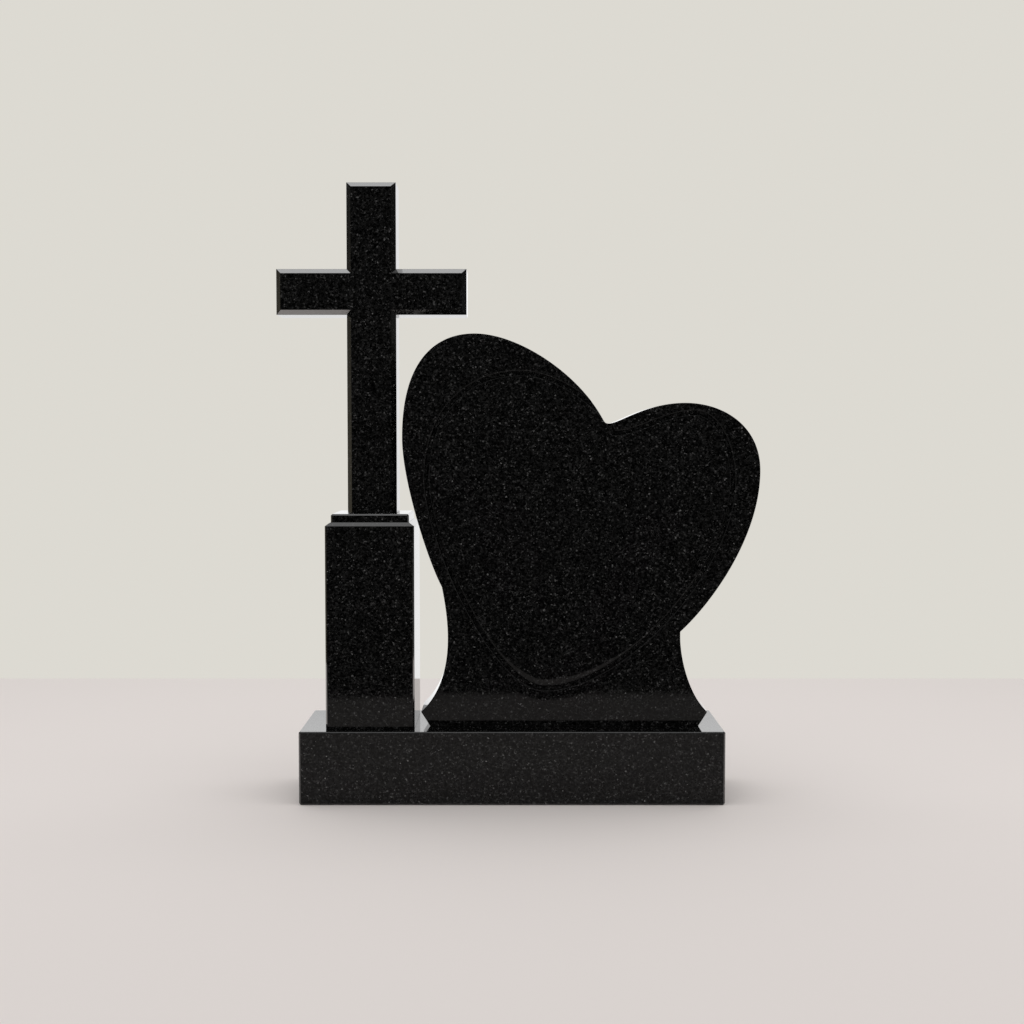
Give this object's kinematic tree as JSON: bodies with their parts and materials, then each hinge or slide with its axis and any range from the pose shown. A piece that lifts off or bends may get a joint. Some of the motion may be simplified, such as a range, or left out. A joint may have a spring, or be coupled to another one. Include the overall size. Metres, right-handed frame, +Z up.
{
  "type": "cross memorial",
  "caption": "Upright grave memorial: a low slab carries a chamfered cross on a stepped square pillar and, beside it, a tilted heart on a flared foot, its face grooved.",
  "frame": {"origin": "middle of the base slab's underside", "axes": "+Z up; the grooved front faces -Y; +X runs from the cross towards the heart"},
  "size_m": [0.8032, 0.195, 1.0248],
  "materials": {
    "base": "polished black granite with fine grey speckles",
    "pillar": "polished black granite with fine grey speckles",
    "cross": "polished black granite with fine grey speckles",
    "heart": "polished black granite with fine grey speckles"
  },
  "bodies": {
    "root": {"base": "base", "pillar": "pillar", "cross": "cross", "heart": "heart"}
  },
  "joints": []
}
